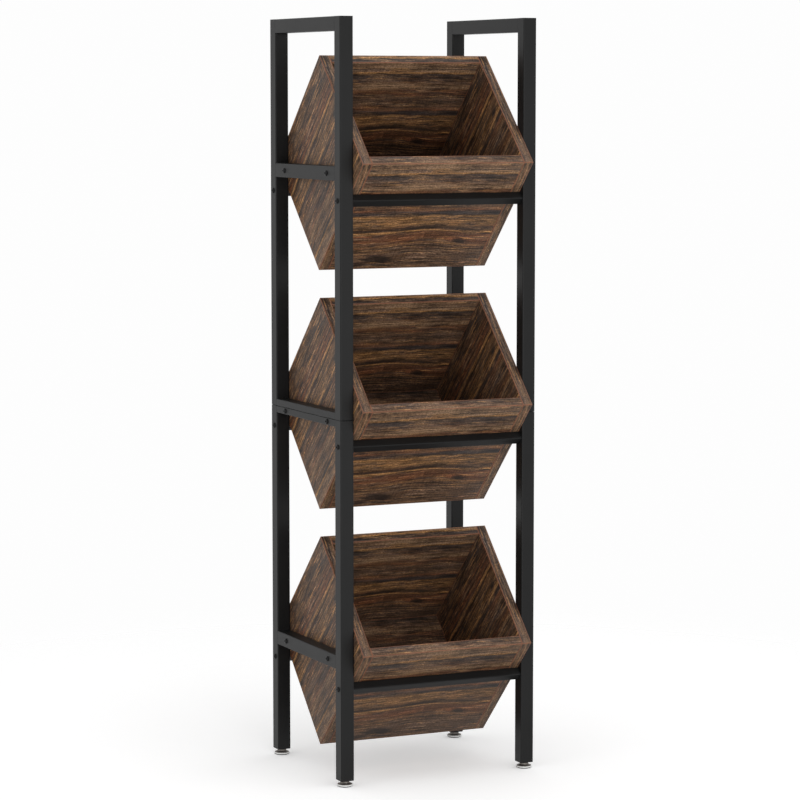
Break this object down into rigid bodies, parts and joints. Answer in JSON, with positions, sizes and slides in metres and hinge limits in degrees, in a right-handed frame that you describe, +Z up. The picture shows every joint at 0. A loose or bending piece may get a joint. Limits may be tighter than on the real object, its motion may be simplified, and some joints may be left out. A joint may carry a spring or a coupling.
{
  "type": "basket stand",
  "caption": "Tall stand of black square-tube side frames carrying tilted open bins of dark wood-print board, on levelling feet, for showing fruit, vegetables or goods.",
  "frame": {"origin": "on the floor under the middle of the stand's bounding box, with the feet screwed in as shown", "axes": "+Z up along the posts, +X to the right as seen from the front, the bins open towards -Y"},
  "size_m": [0.3866, 0.3804, 1.35],
  "materials": {
    "frame_paint": "satin black powder coat",
    "wood_print": "matt rustic brown wood print on board",
    "foot_metal": "zinc plated",
    "foot_plastic": "white",
    "black_bolts": "black oxide",
    "zinc_steel": "zinc plated",
    "cam_metal": "bare die casting",
    "beech": "fluted beech",
    "black_plastic": "black"
  },
  "bodies": {
    "stand": {"bin_bolts": "black_bolts", "bin_insert_nuts": "zinc_steel", "bottom_bin_back": "wood_print", "bottom_bin_floor": "wood_print", "bottom_bin_front": "wood_print", "bottom_bin_left_end": "wood_print", "bottom_bin_right_end": "wood_print", "bottom_front_cross_rail": "frame_paint", "bottom_rear_cross_rail": "frame_paint", "cam_bolts": "zinc_steel", "cam_discs": "cam_metal", "cross_rail_bolts": "black_bolts", "cross_rail_end_nuts": "zinc_steel", "foot_inserts": "black_plastic", "left_lower_bin_rail": "frame_paint", "left_lower_front_post": "frame_paint", "left_lower_rear_post": "frame_paint", "left_lower_seam_rail": "frame_paint", "left_top_rail": "frame_paint", "left_upper_bin_rail": "frame_paint", "left_upper_front_post": "frame_paint", "left_upper_rear_post": "frame_paint", "left_upper_seam_rail": "frame_paint", "middle_bin_back": "wood_print", "middle_bin_floor": "wood_print", "middle_bin_front": "wood_print", "middle_bin_left_end": "wood_print", "middle_bin_right_end": "wood_print", "middle_front_cross_rail": "frame_paint", "middle_rear_cross_rail": "frame_paint", "panel_dowels": "beech", "post_caps": "black_plastic", "right_lower_bin_rail": "frame_paint", "right_lower_front_post": "frame_paint", "right_lower_rear_post": "frame_paint", "right_lower_seam_rail": "frame_paint", "right_top_rail": "frame_paint", "right_upper_bin_rail": "frame_paint", "right_upper_front_post": "frame_paint", "right_upper_rear_post": "frame_paint", "right_upper_seam_rail": "frame_paint", "section_bolts": "black_bolts", "section_nuts": "zinc_steel", "top_bin_back": "wood_print", "top_bin_floor": "wood_print", "top_bin_front": "wood_print", "top_bin_left_end": "wood_print", "top_bin_right_end": "wood_print", "top_front_cross_rail": "frame_paint", "top_rear_cross_rail": "frame_paint"},
    "front_left_foot": {"front_left_foot_stud": "foot_metal", "front_left_foot_sole": "foot_plastic"},
    "front_right_foot": {"front_right_foot_stud": "foot_metal", "front_right_foot_sole": "foot_plastic"},
    "rear_left_foot": {"rear_left_foot_stud": "foot_metal", "rear_left_foot_sole": "foot_plastic"},
    "rear_right_foot": {"rear_right_foot_stud": "foot_metal", "rear_right_foot_sole": "foot_plastic"}
  },
  "joints": [
    {"name": "front_left_levelling", "type": "slide", "parent": "stand", "child": "front_left_foot", "axis": [0, 0, -1], "range_m": [-0.001, 0.02]},
    {"name": "front_right_levelling", "type": "slide", "parent": "stand", "child": "front_right_foot", "axis": [0, 0, -1], "range_m": [-0.001, 0.02]},
    {"name": "rear_left_levelling", "type": "slide", "parent": "stand", "child": "rear_left_foot", "axis": [0, 0, -1], "range_m": [-0.001, 0.02]},
    {"name": "rear_right_levelling", "type": "slide", "parent": "stand", "child": "rear_right_foot", "axis": [0, 0, -1], "range_m": [-0.001, 0.02]}
  ]
}
